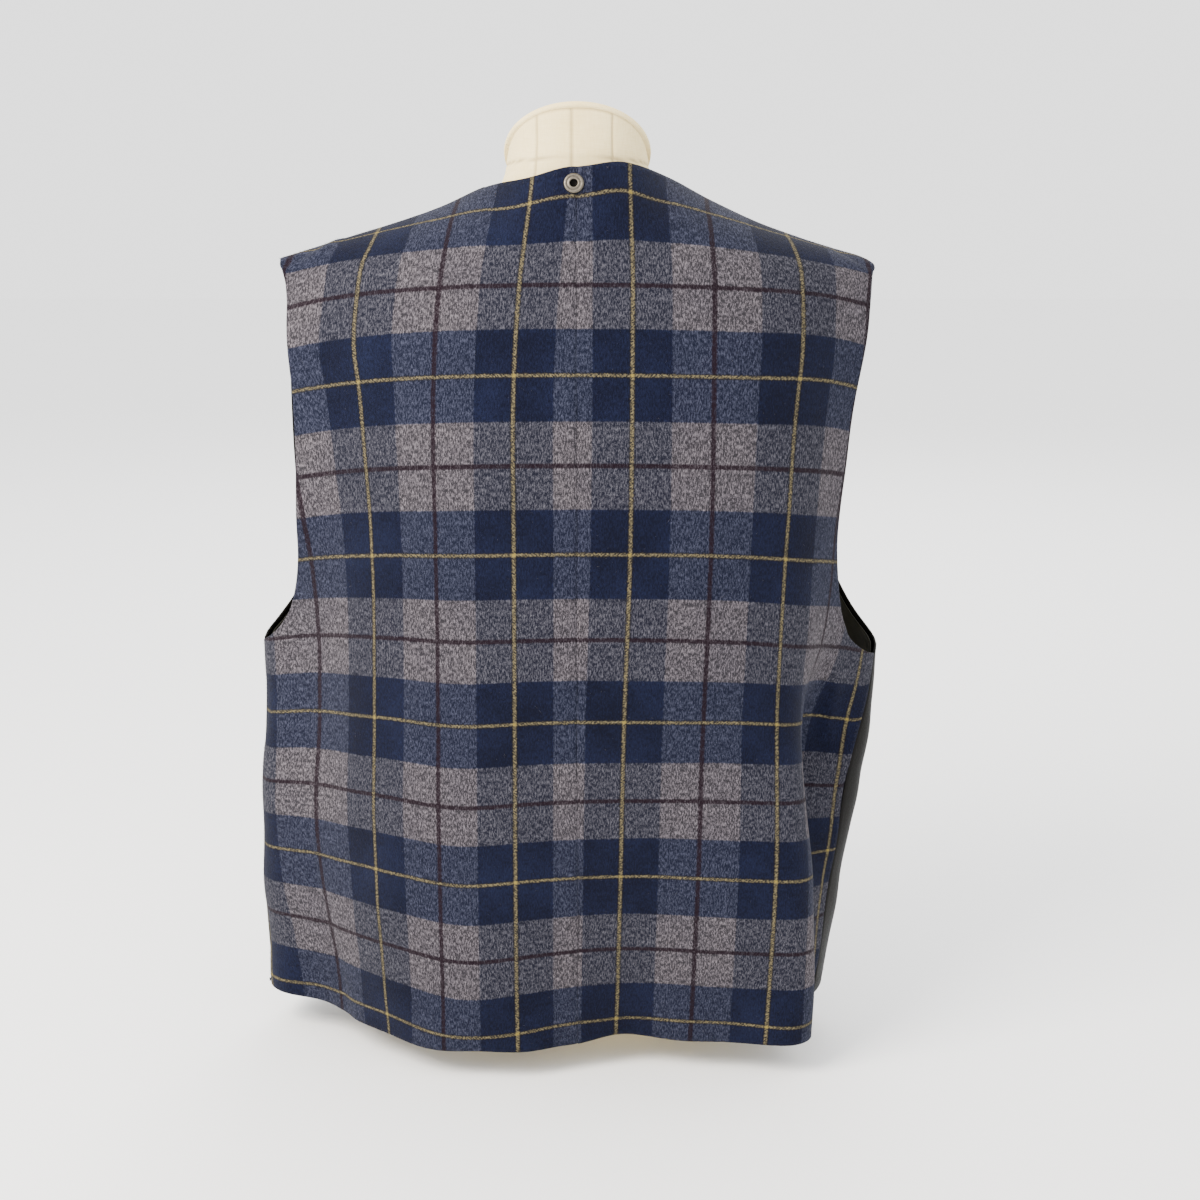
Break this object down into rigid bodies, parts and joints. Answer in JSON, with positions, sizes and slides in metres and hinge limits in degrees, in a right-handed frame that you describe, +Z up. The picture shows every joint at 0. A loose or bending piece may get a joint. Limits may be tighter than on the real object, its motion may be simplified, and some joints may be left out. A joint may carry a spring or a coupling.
{
  "type": "sleeveless plaid wool vest on a dress form",
  "caption": "Sleeveless open-front vest with a plaid wool back, hanging on a limbless dress form with a sloping neck cap.",
  "frame": {"origin": "on the floor under the middle of the whole's box", "axes": "+Z up, +Y towards the front of the vest, +X towards the wearer's right"},
  "size_m": [0.5064, 0.2876, 0.756],
  "materials": {
    "plaid_wool": "brushed wool plaid, navy and grey heather with thin gold and burgundy lines",
    "leather": "smooth black leather, semi-matt",
    "lining": "dark olive-black lining cloth with a soft sheen",
    "old_nickel": "darkened nickel",
    "linen": "cream linen cover, matt"
  },
  "bodies": {
    "root": {"back_left": "plaid_wool", "back_right": "plaid_wool", "front_left": "leather", "front_right": "leather", "lining_front_left": "lining", "lining_front_right": "lining", "press_stud": "old_nickel", "form_torso": "linen", "form_neck_cap": "linen"}
  },
  "joints": []
}
